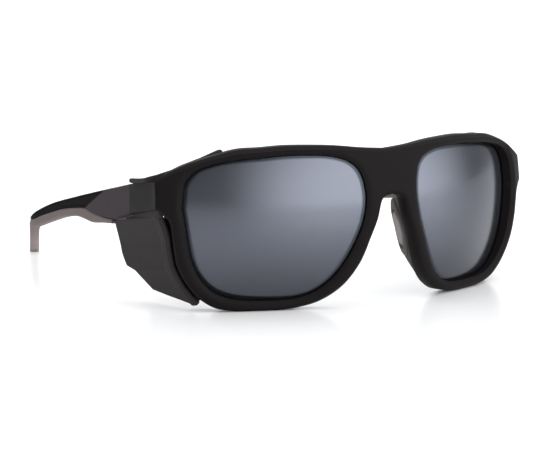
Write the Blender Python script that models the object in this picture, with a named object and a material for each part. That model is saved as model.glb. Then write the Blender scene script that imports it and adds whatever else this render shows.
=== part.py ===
"""Glacier glasses, modelled in metres with +Z up.

The glasses stand as they are put down on a table: on the lowest stretch of each rim and on
the two temple tips.  The front faces -Y, the temples run back along +Y, and X = 0 is the plane
of symmetry.  The wearer's left is +X.  The origin is on the table, under the middle.
"""

import math

import bmesh
import bpy
import numpy as np
from mathutils import Matrix

MM = 0.001
HANDS = {"left": 1, "right": -1}

# The front: a barrel-shaped shell, wrapped round the face and gently curved from top to bottom.
WRAP_RADIUS = 108.5
VERTICAL_CURVE = 0.00806
MID_HEIGHT = 28.0
DEPTH_TO_MIDDLE = 82.38
CLEARANCE = 0.3

# Each rib crosses the rim: (across, up) on the lens opening, then (across, up) on the outer edge.
RIBS = np.array([
    (66.9, -6.5, 71.1, -7.2), (67.9, -1.0, 72.3, 0.0), (68.5, 3.2, 74.6, 2.6),
    (68.6, 5.0, 76.6, 4.4), (67.6, 11.0, 76.2, 12.7), (65.6, 14.0, 72.6, 15.0),
    (62.3, 16.3, 65.4, 17.9), (55.8, 18.2, 57.0, 20.3), (48.8, 19.2, 49.6, 22.0),
    (42.2, 19.7, 42.2, 22.4), (34.9, 20.2, 34.4, 22.9), (27.0, 20.1, 25.8, 22.8),
    (20.5, 19.6, 17.5, 22.4), (15.4, 18.3, 8.0, 21.4), (12.4, 16.4, 0.0, 20.8),
    (10.7, 13.8, 0.0, 14.2), (9.7, 9.8, 0.0, 7.5), (9.6, 5.0, 3.6, 5.6),
    (10.7, -0.8, 5.6, -0.6), (12.8, -6.4, 7.9, -6.2), (15.9, -12.8, 10.9, -14.0),
    (19.8, -18.5, 15.6, -20.9), (24.9, -22.6, 22.1, -25.4), (30.6, -24.4, 29.4, -27.4),
    (36.6, -24.8, 36.2, -28.0), (42.2, -24.8, 42.2, -28.0), (47.8, -24.5, 48.2, -28.0),
    (53.4, -23.4, 55.2, -26.9), (58.3, -21.0, 61.2, -23.6), (62.4, -17.0, 65.8, -19.0),
    (65.2, -12.2, 69.4, -13.4)])
END_PIECE_RIBS = (3, 4)
BRIDGE_RIBS = (14, 15, 16)
FOOT_RIBS = (24, 26)
EDGE_CORNERS = END_PIECE_RIBS + BRIDGE_RIBS + FOOT_RIBS
STEPS_PER_RIB = 2

# Across the rim, from the front inwards.
FRONT_CHAMFER = 0.9
INNER_CHAMFER = 0.5
GROOVE_DEPTH = 1.0
GROOVE_WIDTH = 2.2
BACK_LIP = 1.2
LENS_BITE = 0.7
LENS_THICKNESS = GROOVE_WIDTH - 2 * CLEARANCE
LENS_CENTRE = (39.0, -2.5)
LENS_RINGS = (0.66, 0.33)

# The side: a vertical plane through the front corner, leaning inwards towards the back.
CORNER_ACROSS = 69.85
CORNER_BACK = 25.9
SIDE_ANGLE = math.radians(9.5)
END_PIECE_STATIONS = (9.0, 23.85)
END_PIECE_THICKNESS = 3.6
BEND_START = 123.4
BEND_RADIUS = 48.0

# The hinge: its axis is vertical, inboard of the joint between end piece and temple.
HINGE_S = 24.15
HINGE_D = 5.9
HINGE_Z = 4.7
KNUCKLE_RADIUS = 2.0
KNUCKLE_BORE = 1.0
LEAF_FACE = END_PIECE_THICKNESS + CLEARANCE
LEAF_THICKNESS = 0.9
LEAF_HALF_HEIGHT = 2.5
LEAF_INSET = 0.1
KNUCKLE_SPLIT = 0.65
KNUCKLE_GAP = 0.35
LEAF_REACH = {"front": (12.0, 21.85), "temple": (26.45, 35.0)}
SCREW_SPOTS = {"front": (14.2, 18.8), "temple": (28.4, 33.0)}
SCREW_HOLE = 0.9
SCREW_SHANK = 0.55
SCREW_HEAD = 1.25
SCREW_HEAD_HEIGHT = 0.6
SCREW_TIP_D = 2.1
SCREW_HOLE_END = 1.6

# The temple and its grip in the side plane: (back, up) on the upper edge, then on the lower edge.
BLADE_RIBS = [(24.3, 9.5, 24.3, -0.1), (38.0, 6.9, 38.6, -3.8), (51.8, 4.3, 55.1, -4.6),
              (62.2, 2.3, 63.4, -4.3), (72.6, 0.3, 70.6, -3.9), (83.6, -1.9, 82.7, -5.4),
              (94.6, -4.1, 94.7, -7.3), (106.0, -6.6, 106.5, -9.8), (117.8, -9.7, 118.0, -12.6),
              (126.0, -12.2, 126.0, -14.7), (133.5, -14.8, 133.2, -16.0)]
BLADE_CORNERS = (1,)
GRIP_RIBS = [(41.0, -4.6, 41.0, -5.3), (47.0, -4.85, 46.6, -5.9), (55.1, -5.05, 52.1, -6.5),
             (62.6, -4.75, 62.4, -7.7), (70.6, -4.35, 71.4, -7.6), (82.0, -5.75, 79.6, -7.8),
             (94.7, -7.75, 94.2, -10.0), (107.0, -10.4, 104.6, -12.3), (118.0, -13.05, 113.0, -14.3),
             (126.0, -15.15, 121.5, -16.4), (133.8, -16.6, 128.5, -18.0), (138.0, -18.2, 132.3, -20.2),
             (140.6, -21.0, 134.2, -23.0), (141.6, -24.4, 135.4, -25.4), (141.4, -27.0, 136.0, -27.2),
             (140.8, -28.0, 136.6, -28.0)]
GRIP_CORNERS = (14,)
# How thick the grip is, at distances back; the blade is thinner by GRIP_STEP.
GRIP_THICKNESS = [(90.0, 3.9), (116.0, 3.5), (130.0, 3.0), (142.0, 2.8)]
GRIP_STEP = 0.3
TONGUE = [(60.0, -3.0), (60.0, -5.2), (73.0, -5.4), (95.0, -8.6), (112.0, -12.6), (116.0, -13.7),
          (116.0, -11.4), (94.7, -6.4), (70.6, -3.0)]
TONGUE_CORNERS = (0, 1, 5, 6)
TONGUE_SPAN = (1.1, 2.5)
SLOT_ROOM = 0.35

# The nose: a nylon arm behind each rim carries a rubber pad with a stud.
ARM_STATIONS = (2.0, -2.5, -7.0, -11.5)
ARM_OFFSET = 2.9
ARM_THICKNESS = 1.7
ARM_END_DEPTH = 12.3
PAD_FLARE = 0.5
PAD_MIDDLE = -5.2
PAD_HALF_HEIGHT = 10.6
PAD_DEPTH = 9.0
PAD_HALF_WIDTH = 4.4
PAD_HALF_THICKNESS = 1.2
STUD_RADIUS = 1.2
STUD_HOLE = 1.55

# The side shield: a wing below the temple, a flap over the brow, and a web behind the rim.
SHIELD_WALL = 1.4
WING_OFFSET = 1.9
WING_START_DEPTH = 2.5
WING_ANGLE = math.radians(5.0)
WING_SLOPE = -0.17
WING_TOP_RAISE = (1.0, 0.8)
SHELF_START = 6.5
SHELF_WIDTH = 6.0
# The fence stands on the shelf, under the end piece and the temple: (back, top).
FENCE = [(6.0, 2.9), (23.4, -0.4), (24.6, -1.3), (32.0, -3.0)]
FENCE_SPAN = (1.0, 2.4)
WING_RULES = [(2.0, 34.0), (-3.9, 35.5), (-8.0, 34.8), (-11.7, 33.3), (-13.2, 27.7),
              (-15.6, 25.2), (-19.3, 21.9), (-21.0, 15.5), (-22.8, 8.5), (-24.4, 4.0)]
# Each step of the flap: (across on the front, bottom, top) behind the brow ...
BROW_FLAP = [(53.6, 18.0, 20.4), (54.6, 17.2, 21.8), (58.0, 15.5, 21.2), (61.4, 13.5, 20.5),
             (65.0, 11.5, 19.4), (68.5, 10.5, 18.0), (71.6, 11.5, 16.6)]
# ... then (back from the corner, inboard, bottom, top) over the end piece.
SIDE_FLAP = [(8.9, 3.6, 11.8, 14.9), (11.0, 1.6, 11.55, 14.2), (14.0, 1.2, 11.15, 13.3),
             (20.0, 1.1, 10.4, 12.1), (26.3, 1.1, 9.8, 11.2)]
# The web: (inner edge, outer edge, up) across the front.
WEB = [(58.0, 63.3, -24.0), (60.5, 65.6, -22.5), (63.0, 68.4, -20.0), (65.6, 70.8, -17.0), (67.9, 72.8, -14.0),
       (69.0, 74.3, -11.0), (69.6, 75.0, -6.0), (69.4, 75.4, 0.8), (69.2, 73.6, 2.6),
       (69.0, 73.4, 9.0), (67.6, 73.2, 12.6), (67.0, 71.0, 14.6)]
WEB_GAP = 0.4

COLOURS = {
    "frame_nylon": ((0.028, 0.025, 0.027), 0.5, 0.0),
    "temple_nylon": ((0.016, 0.015, 0.016), 0.5, 0.0),
    "taupe_rubber": ((0.2, 0.168, 0.17), 0.6, 0.0),
    "shield_rubber": ((0.05, 0.05, 0.054), 0.7, 0.0),
    "pad_rubber": ((0.1, 0.09, 0.085), 0.7, 0.0),
    "smoke_lens": ((0.18, 0.19, 0.22), 0.08, 0.4),
    "steel": ((0.5, 0.5, 0.5), 0.3, 1.0),
}


def front(across, up, depth):
    """Points on the front, in millimetres: across and up its surface, depth behind it."""
    across, up, depth = np.broadcast_arrays(across, up, depth)
    turn = across / WRAP_RADIUS
    radius = WRAP_RADIUS - depth
    back = WRAP_RADIUS - radius * np.cos(turn) + VERTICAL_CURVE * up ** 2
    return np.stack([radius * np.sin(turn), back - DEPTH_TO_MIDDLE, up + MID_HEIGHT], axis=-1)


def side(along, inboard, up):
    """Points at the side, in millimetres: back from the corner, inboard of the outer plane, up.

    The plane is flat as far back as BEND_START, and then curves inwards round the head.
    """
    along, inboard, up = np.broadcast_arrays(along, inboard, up)
    turn = np.maximum(along - BEND_START, 0.0) / BEND_RADIUS
    along = np.minimum(along, BEND_START) + (BEND_RADIUS - inboard) * np.sin(turn)
    inboard = BEND_RADIUS - (BEND_RADIUS - inboard) * np.cos(turn)
    lean, run = math.sin(SIDE_ANGLE), math.cos(SIDE_ANGLE)
    across = CORNER_ACROSS - along * lean - inboard * run
    back = CORNER_BACK + along * run - inboard * lean - DEPTH_TO_MIDDLE
    return np.stack([across, back, up + MID_HEIGHT], axis=-1)


def lens_depth(across):
    """How far the lens lies behind the front surface: it sinks in towards the temple."""
    return 1.0 + 2.8 * np.clip((across - 10.0) / 58.0, 0.0, 1.15)


def rim_depth(across):
    """The rim's full depth, from its front surface to its back."""
    return lens_depth(across) + GROOVE_WIDTH + BACK_LIP


def smooth_loop(points, corners, steps):
    """A closed cubic curve through the points, with a sharp turn at each corner's index."""
    points = np.asarray(points, float)
    after = np.roll(points, -1, axis=0)
    tangent = (after - np.roll(points, 1, axis=0)) / 2
    sharp = np.isin(np.arange(len(points)), corners)[:, None]
    start = np.where(sharp, after - points, tangent)
    end = np.where(np.roll(sharp, -1, axis=0), after - points, np.roll(tangent, -1, axis=0))
    return cubic(points, after, start, end, steps)


def smooth_line(points, corners, steps):
    """An open cubic curve through the points, straight into and out of each corner."""
    points = np.asarray(points, float)
    tangent = np.gradient(points, axis=0)
    chord = np.diff(points, axis=0)
    sharp = np.isin(np.arange(len(points)), corners)[:, None]
    start = np.where(sharp[:-1], chord, tangent[:-1])
    end = np.where(sharp[1:], chord, tangent[1:])
    return np.concatenate([cubic(points[:-1], points[1:], start, end, steps), points[-1:]])


def cubic(first, last, start, end, steps):
    """Cubic spans between matched points with the given tangents, run end to end."""
    t = (np.arange(steps) / steps)[None, :, None]
    curve = ((2 * t ** 3 - 3 * t ** 2 + 1) * first[:, None] + (t ** 3 - 2 * t ** 2 + t) * start[:, None]
             + (3 * t ** 2 - 2 * t ** 3) * last[:, None] + (t ** 3 - t ** 2) * end[:, None])
    return curve.reshape(-1, first.shape[-1])


def outward(loop):
    """Unit normals pointing out of a loop drawn anticlockwise."""
    run = np.roll(loop, -1, axis=0) - np.roll(loop, 1, axis=0)
    normal = np.stack([run[:, 1], -run[:, 0]], axis=-1)
    return normal / np.linalg.norm(normal, axis=1, keepdims=True)


def material(name):
    """A Principled material from the table of colours."""
    colour, roughness, metallic = COLOURS[name]
    surface = bpy.data.materials.get(name) or bpy.data.materials.new(name)
    surface.use_nodes = True
    shader = surface.node_tree.nodes["Principled BSDF"]
    shader.inputs["Base Color"].default_value = (*colour, 1.0)
    shader.inputs["Roughness"].default_value = roughness
    shader.inputs["Metallic"].default_value = metallic
    return surface


def solid(name, corners, faces, finish, hand=1):
    """A closed object from corners in millimetres, mirrored to the right side by hand = -1."""
    corners = np.asarray(corners, float) * MM * np.array([hand, 1, 1])
    mesh = bpy.data.meshes.new(name)
    mesh.from_pydata(corners.tolist(), [], [tuple(int(i) for i in face) for face in faces])
    shape = bmesh.new()
    shape.from_mesh(mesh)
    bmesh.ops.remove_doubles(shape, verts=shape.verts, dist=1e-7)
    bmesh.ops.recalc_face_normals(shape, faces=shape.faces)
    shape.to_mesh(mesh)
    shape.free()
    thing = bpy.data.objects.new(name, mesh)
    bpy.context.scene.collection.objects.link(thing)
    mesh.materials.append(material(finish))
    mesh.shade_smooth()
    mesh.set_sharp_from_angle(angle=math.radians(35))
    return thing


def ring_faces(rows, columns, closed_rows=False, skip=()):
    """Quads between successive loops of a grid, as indices; skip holds (row, column) pairs."""
    last = rows if closed_rows else rows - 1
    return [(r * columns + c, r * columns + (c + 1) % columns,
             (r + 1) % rows * columns + (c + 1) % columns, (r + 1) % rows * columns + c)
            for r in range(last) for c in range(columns) if (r, c) not in skip]


def loft(name, sections, finish, hand=1):
    """A solid skinned over sections of equal length, with a flat cap at each end."""
    sections = np.asarray(sections, float)
    rows, columns = sections.shape[:2]
    caps = [tuple(range(columns)), tuple(range((rows - 1) * columns, rows * columns))]
    return solid(name, sections.reshape(-1, 3), ring_faces(rows, columns) + caps, finish, hand)


def combine(body, tool, operation):
    """Join the tool to the body, or cut it away, and remove the tool."""
    modifier = body.modifiers.new("Combine", "BOOLEAN")
    modifier.operation = operation
    modifier.object = tool
    bpy.context.view_layer.update()
    evaluated = body.evaluated_get(bpy.context.evaluated_depsgraph_get())
    mesh = bpy.data.meshes.new_from_object(evaluated)
    body.modifiers.clear()
    body.data = mesh
    bpy.data.objects.remove(tool)
    return body


def prism(name, outline, span, finish, hand):
    """An outline in the side plane, thickened between two distances inboard of it."""
    outline = np.asarray(outline, float)
    return loft(name, [side(outline[:, 0], inboard, outline[:, 1]) for inboard in span], finish, hand)


def side_box(name, along, inboard, up, finish, hand):
    """A box square to the side plane, each argument being its two ends."""
    outline = [(along[0], up[0]), (along[1], up[0]), (along[1], up[1]), (along[0], up[1])]
    return prism(name, outline, inboard, finish, hand)


def turned(name, profile, place, axis, finish, hand=1, sides=16):
    """A profile of (radius, distance along the axis) turned round it, capped at both ends."""
    axis = np.asarray(axis, float) / np.linalg.norm(axis)
    first = np.cross(axis, [0.0, 0.0, 1.0] if abs(axis[2]) < 0.9 else [1.0, 0.0, 0.0])
    first /= np.linalg.norm(first)
    second = np.cross(axis, first)
    angle = np.arange(sides)[:, None] * 2 * math.pi / sides
    spoke = np.cos(angle) * first + np.sin(angle) * second
    sections = [place + axis * height + spoke * radius for radius, height in profile]
    return loft(name, sections, finish, hand)


def rim_outlines():
    """The lens opening and the outer edge as matched smooth loops, with their normals."""
    opening = smooth_loop(RIBS[:, :2], (), STEPS_PER_RIB)
    edge = smooth_loop(RIBS[:, 2:], EDGE_CORNERS, STEPS_PER_RIB)
    normal = outward(edge)
    first, _, last = (STEPS_PER_RIB * rib for rib in BRIDGE_RIBS)
    normal[first:last + 1] = 0.0
    normal[first] = (0.0, 1.0)
    normal[last] = (0.0, -1.0)
    return opening, outward(opening), edge, normal


def half_front():
    """Corners and faces of the left half of the front, open where it meets the right half."""
    opening, opening_out, edge, edge_out = rim_outlines()
    ou, ov = opening.T
    gu, gv = (opening + GROOVE_DEPTH * opening_out).T
    cu, cv = (opening + INNER_CHAMFER * opening_out).T
    eu, ev = edge.T
    fu, fv = (edge - FRONT_CHAMFER * edge_out).T
    sections = np.stack([
        front(cu, cv, 0.0), front(ou, ov, INNER_CHAMFER), front(ou, ov, lens_depth(ou)),
        front(gu, gv, lens_depth(gu)), front(gu, gv, lens_depth(gu) + GROOVE_WIDTH),
        front(ou, ov, lens_depth(ou) + GROOVE_WIDTH), front(ou, ov, rim_depth(ou)),
        front(eu, ev, rim_depth(eu)), front(eu, ev, FRONT_CHAMFER), front(fu, fv, 0.0)], axis=1)
    rows, columns = sections.shape[:2]
    back_edge, front_edge = 7, 8
    bridge = range(BRIDGE_RIBS[0] * STEPS_PER_RIB, BRIDGE_RIBS[-1] * STEPS_PER_RIB)
    root = range(END_PIECE_RIBS[0] * STEPS_PER_RIB, END_PIECE_RIBS[1] * STEPS_PER_RIB + 1)
    skip = {(row, column) for row in bridge for column in (back_edge, front_edge)}
    skip |= {(row, back_edge) for row in root[:-1]}
    corners = sections.reshape(-1, 3)
    faces = ring_faces(rows, columns, closed_rows=True, skip=skip)

    # The end piece runs back from the opening left in the rim's outer wall.
    loop = [row * columns + front_edge for row in root] + [row * columns + back_edge for row in root[::-1]]
    for along in END_PIECE_STATIONS:
        heights = np.linspace(end_piece_bottom(along), end_piece_top(along), len(root))
        station = np.concatenate([side(along, 0.0, heights),
                                  side(along, END_PIECE_THICKNESS, heights[::-1])])
        new_loop = list(range(len(corners), len(corners) + len(station)))
        corners = np.concatenate([corners, station])
        faces += [(loop[i], loop[i - 1], new_loop[i - 1], new_loop[i]) for i in range(len(loop))]
        loop = new_loop
    faces.append(tuple(loop))
    return corners, faces


def end_piece_bottom(along):
    return 4.3 - 0.183 * along


def end_piece_top(along):
    return 12.7 - 0.133 * along


def edge_across(up):
    """How far across the rim's nasal edge lies at a height."""
    nose = RIBS[BRIDGE_RIBS[-1]:FOOT_RIBS[0], 2:]
    return np.interp(-np.asarray(up, float), -nose[:, 1], nose[:, 0])


def outer_edge_across(up):
    """How far across the rim's temple-side edge lies at a height."""
    temple_side = np.concatenate([RIBS[FOOT_RIBS[1]:, 2:], RIBS[:END_PIECE_RIBS[0] + 1, 2:]])
    return np.interp(up, temple_side[:, 1], temple_side[:, 0])


def nose_arm(hand):
    """The nylon arm that stands out behind the nasal side of a rim."""
    up = np.array(ARM_STATIONS)
    root = edge_across(up) + ARM_OFFSET
    root_depth = rim_depth(root) - BACK_LIP + 0.1
    tip = root + PAD_FLARE * (ARM_END_DEPTH - rim_depth(root))
    sections = np.stack([front(root, up, root_depth), front(tip, up, ARM_END_DEPTH),
                         front(tip + ARM_THICKNESS, up, ARM_END_DEPTH),
                         front(root + ARM_THICKNESS, up, root_depth)], axis=1)
    return loft("nose_arm", sections, "frame_nylon", hand)


def pad_frame():
    """The pad's middle, and unit directions back along it and out of its nose face."""
    across = float(edge_across(PAD_MIDDLE)) + ARM_OFFSET
    depth = float(rim_depth(across))
    back = front(across + PAD_FLARE, PAD_MIDDLE, depth + 1.0) - front(across, PAD_MIDDLE, depth)
    back /= np.linalg.norm(back)
    out = np.cross(back, [0.0, 0.0, 1.0])
    out *= -np.sign(out[0])
    out /= np.linalg.norm(out)
    reach = PAD_DEPTH - depth
    middle = front(across + PAD_FLARE * reach, PAD_MIDDLE, PAD_DEPTH)
    return middle + out * (PAD_HALF_THICKNESS + CLEARANCE), back, out


def nose_pad(name, hand):
    """A lens-shaped rubber pad that follows the rim's nasal edge, with a stud on its back."""
    middle, back, out = pad_frame()
    sections = []
    for climb in np.linspace(-0.97, 0.97, 9):
        width = PAD_HALF_WIDTH * math.sqrt(1 - climb ** 2)
        up = PAD_MIDDLE + climb * PAD_HALF_HEIGHT
        shift = front(float(edge_across(up)), up, PAD_DEPTH) - front(
            float(edge_across(PAD_MIDDLE)), PAD_MIDDLE, PAD_DEPTH)
        crown = PAD_HALF_THICKNESS * (0.45 + 0.55 * math.sqrt(1 - climb ** 2))
        ring = [(-1.0, -0.2), (-0.86, -1.0), (0.86, -1.0), (1.0, -0.2), (0.8, 0.6), (0.35, 1.0),
                (-0.35, 1.0), (-0.8, 0.6)]
        sections.append([middle + shift + back * a * width
                         + out * (b * crown if b > 0 else b * PAD_HALF_THICKNESS) for a, b in ring])
    pad = loft(name, sections, "pad_rubber", hand)
    stud = turned("stud", [(STUD_RADIUS, 0.5), (STUD_RADIUS, -PAD_HALF_THICKNESS - ARM_THICKNESS)],
                  middle, out, "pad_rubber", hand)
    return combine(pad, stud, "UNION")


def front_frame():
    """Both rims, the bridge, the end pieces and the nose arms: one nylon moulding."""
    corners, faces = half_front()
    count = len(corners)
    both = np.concatenate([corners, corners * np.array([-1, 1, 1])])
    faces = faces + [tuple(i + count for i in face[::-1]) for face in faces]
    frame = solid("front_frame", both, faces, "frame_nylon")
    middle, _, out = pad_frame()
    for hand in HANDS.values():
        combine(frame, nose_arm(hand), "UNION")
        hole = turned("hole", [(STUD_HOLE, 0.0), (STUD_HOLE, -6.0)], middle, out, "frame_nylon", hand)
        combine(frame, hole, "DIFFERENCE")
        for along in SCREW_SPOTS["front"]:
            combine(frame, screw_hole(along, SCREW_HOLE_END, hand), "DIFFERENCE")
    return frame


def lens(name, hand):
    """A curved lens of even thickness, its edge seated in the rim's groove."""
    opening, opening_out, _, _ = rim_outlines()
    seated = opening + LENS_BITE * opening_out
    centre = np.array(LENS_CENTRE)
    loops = [seated] + [centre + (seated - centre) * size for size in LENS_RINGS]

    def skin(depth):
        return [front(loop[:, 0], loop[:, 1], lens_depth(loop[:, 0]) + depth) for loop in loops]

    front_skin = skin(CLEARANCE)
    back_skin = skin(CLEARANCE + LENS_THICKNESS)
    return loft(name, front_skin[::-1] + back_skin, "smoke_lens", hand)


def screw_hole(along, deep, hand):
    """A cutter for a screw's hole, square to the side plane."""
    out = side(0.0, 0.0, 0.0) - side(0.0, 1.0, 0.0)
    start = side(along, LEAF_FACE + LEAF_THICKNESS + 1.0, HINGE_Z)
    length = LEAF_FACE + LEAF_THICKNESS + 1.0 - deep
    return turned("hole", [(SCREW_HOLE, 0.0), (SCREW_HOLE, length)], start, out, "steel", hand)


def leaf_screw(name, along, hand):
    """A fixing screw with a low domed head, driven outwards through a hinge leaf."""
    out = side(0.0, 0.0, 0.0) - side(0.0, 1.0, 0.0)
    seat = LEAF_FACE + LEAF_THICKNESS + CLEARANCE
    place = side(along, seat, HINGE_Z)
    profile = [(SCREW_HEAD * 0.7, -SCREW_HEAD_HEIGHT), (SCREW_HEAD, -SCREW_HEAD_HEIGHT * 0.5),
               (SCREW_HEAD, 0.0), (SCREW_SHANK, 0.0), (SCREW_SHANK, seat - SCREW_TIP_D)]
    return turned(name, profile, place, out, "steel", hand)


def hinge_leaf(name, part, hand):
    """A steel leaf with its knuckles: two on the end piece's leaf, one on the temple's."""
    start, end = LEAF_REACH[part]
    faces = (LEAF_FACE, LEAF_FACE + LEAF_THICKNESS)
    heights = (HINGE_Z - LEAF_HALF_HEIGHT, HINGE_Z + LEAF_HALF_HEIGHT)
    leaf = side_box(name, (start, end), faces, heights, "steel", hand)
    if part == "front":
        split = KNUCKLE_SPLIT + KNUCKLE_GAP
        spans = [(-LEAF_HALF_HEIGHT, -split), (split, LEAF_HALF_HEIGHT)]
        tab = (end - 1.0, HINGE_S)
    else:
        spans = [(-KNUCKLE_SPLIT, KNUCKLE_SPLIT)]
        tab = (HINGE_S, start + 1.0)
    inset = (faces[0] + LEAF_INSET, faces[1] - LEAF_INSET)
    for low, high in spans:
        arm = side_box("tab", tab, inset, (HINGE_Z + low + LEAF_INSET, HINGE_Z + high - LEAF_INSET),
                       "steel", hand)
        combine(leaf, arm, "UNION")
        knuckle = turned("knuckle", [(KNUCKLE_RADIUS, low), (KNUCKLE_RADIUS, high)],
                         side(HINGE_S, HINGE_D, HINGE_Z), (0, 0, 1), "steel", hand, sides=24)
        combine(leaf, knuckle, "UNION")
    bore = turned("bore", [(KNUCKLE_BORE, -5.0), (KNUCKLE_BORE, 5.0)],
                  side(HINGE_S, HINGE_D, HINGE_Z), (0, 0, 1), "steel", hand, sides=24)
    combine(leaf, bore, "DIFFERENCE")
    for along in SCREW_SPOTS[part]:
        combine(leaf, screw_hole(along, SCREW_HOLE_END, hand), "DIFFERENCE")
    return leaf


def hinge_screw(name, hand):
    """The hinge's pin: a shouldered screw dropped in from above, headed over at the bottom."""
    reach = LEAF_HALF_HEIGHT + CLEARANCE
    profile = [(0.7, -reach), (0.7, reach), (1.6, reach), (1.6, reach + 0.5), (1.2, reach + 0.8)]
    return turned(name, profile, side(HINGE_S, HINGE_D, HINGE_Z), (0, 0, 1), "steel", hand)


def ribbon(name, ribs, corners, thinner, finish, hand):
    """A solid between an upper and a lower edge, thinning towards the back."""
    back, top, low_back, low = smooth_line(ribs, corners, 2).T
    reach, thickness = np.array(GRIP_THICKNESS).T
    wall = np.interp(back, reach, thickness) - thinner
    sections = np.stack([side(low_back, 0.0, low), side(back, 0.0, top), side(back, wall, top),
                         side(low_back, wall, low)], axis=1)
    return loft(name, sections, finish, hand)


def temple(name, hand):
    """The nylon temple: a flat blade, and a thinner tongue that the grip is moulded over."""
    blade = ribbon(name, BLADE_RIBS, BLADE_CORNERS, GRIP_STEP, "temple_nylon", hand)
    tongue = prism("tongue", smooth_loop(TONGUE, TONGUE_CORNERS, 2), TONGUE_SPAN,
                   "temple_nylon", hand)
    combine(blade, tongue, "UNION")
    for along in SCREW_SPOTS["temple"]:
        combine(blade, screw_hole(along, SCREW_HOLE_END, hand), "DIFFERENCE")
    return blade


def temple_grip(name, hand):
    """The rubber grip along the temple's underside and tip, with a slot for the tongue."""
    grip = ribbon(name, GRIP_RIBS, GRIP_CORNERS, 0.0, "taupe_rubber", hand)
    tongue = smooth_loop(TONGUE, TONGUE_CORNERS, 2)
    slot = prism("slot", tongue + SLOT_ROOM * outward(tongue),
                 (TONGUE_SPAN[0] - SLOT_ROOM, TONGUE_SPAN[1] + SLOT_ROOM), "taupe_rubber", hand)
    return combine(grip, slot, "DIFFERENCE")


def shield_wing():
    """The shield's wing: straight lines run back from the rim's outer edge, each to its own length."""
    up, length = np.array(WING_RULES).T
    path = np.stack([outer_edge_across(up), up], axis=1)
    run = np.gradient(path, axis=0)
    aside = np.stack([-run[:, 1], run[:, 0]], axis=1) / np.linalg.norm(run, axis=1, keepdims=True)
    path = path + WING_OFFSET * aside
    start = front(path[:, 0], path[:, 1], WING_START_DEPTH)
    rule = np.array([-math.sin(WING_ANGLE), math.cos(WING_ANGLE), WING_SLOPE])
    end = start + length[:, None] * rule
    inward = np.cross(np.gradient(start, axis=0), rule)
    inward /= np.linalg.norm(inward, axis=1, keepdims=True)
    inward *= -np.sign(inward[:, :1])
    wall = SHIELD_WALL * inward
    start[0, 2] += WING_TOP_RAISE[0]
    end[0, 2] += WING_TOP_RAISE[1]
    return np.stack([start, end, end + wall, start + wall], axis=1)


def shield_shelf(wing):
    """The flange that turns inwards from the wing's upper edge, behind the rim."""
    start, end = wing[0, 0], wing[0, 1]
    run = (end - start) / np.linalg.norm(end - start)
    first, last = start + SHELF_START * run, end - SHIELD_WALL * run
    inboard = np.array([-SHELF_WIDTH, 0.0, 0.0])
    drop = np.array([0.0, 0.0, -SHIELD_WALL])
    tuck = inboard / SHELF_WIDTH * SHIELD_WALL / 2
    return np.stack([[place + tuck, place + inboard, place + inboard + drop, place + tuck + drop]
                     for place in (first, last)])


def shield_fence(wing):
    """A low wall on the shelf that closes the gap below the end piece."""
    lean, run = math.sin(SIDE_ANGLE), math.cos(SIDE_ANGLE)
    ends = wing[0, :2]
    along_ends = ((CORNER_ACROSS - ends[:, 0]) * lean
                  + (ends[:, 1] + DEPTH_TO_MIDDLE - CORNER_BACK) * run)
    along, top = np.array(FENCE).T
    low = np.interp(along, along_ends, ends[:, 2] - MID_HEIGHT) - SHIELD_WALL / 2
    near, far = FENCE_SPAN
    return np.stack([side(along, near, low), side(along, near, top), side(along, far, top),
                     side(along, far, low)], axis=1)


def side_shield(name, hand):
    """A rubber moulding: wing, shelf and fence, a flap over the brow, and the web between them."""
    wing = shield_wing()
    shield = loft(name, wing, "shield_rubber", hand)
    combine(shield, loft("shelf", shield_shelf(wing), "shield_rubber", hand), "UNION")
    combine(shield, loft("fence", shield_fence(wing), "shield_rubber", hand), "UNION")

    across, low, high = np.array(BROW_FLAP).T
    depth = rim_depth(across) + WEB_GAP
    brow = [front(across, low, depth), front(across, high, depth),
            front(across, high, depth + SHIELD_WALL), front(across, low, depth + SHIELD_WALL)]
    along, inboard, low, high = np.array(SIDE_FLAP).T
    over = [side(along, inboard - SHIELD_WALL / 2, low), side(along, inboard - SHIELD_WALL / 2, high),
            side(along, inboard + SHIELD_WALL / 2, high), side(along, inboard + SHIELD_WALL / 2, low)]
    flap = np.concatenate([np.stack(brow, axis=1), np.stack(over, axis=1)])
    combine(shield, loft("flap", flap, "shield_rubber", hand), "UNION")

    inner, outer, up = np.array(WEB).T
    near, far = WEB_GAP, WEB_GAP + SHIELD_WALL
    web = np.stack([front(inner, up, rim_depth(inner) + near), front(outer, up, rim_depth(outer) + near),
                    front(outer, up, rim_depth(outer) + far), front(inner, up, rim_depth(inner) + far)],
                   axis=1)
    return combine(shield, loft("web", web, "shield_rubber", hand), "UNION")


def hang(thing, pivot):
    """Parent a finished piece to a pivot, with the piece's origin on the pivot's axis."""
    thing.data.transform(Matrix.Translation(-pivot.location))
    thing.parent = pivot


def hinge_pivot(name, hand):
    """An empty on a hinge's axis, at the hinge's middle height."""
    pivot = bpy.data.objects.new(name, None)
    pivot.location = side(HINGE_S, HINGE_D, HINGE_Z) * MM * np.array([hand, 1, 1])
    bpy.context.scene.collection.objects.link(pivot)
    return pivot


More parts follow.
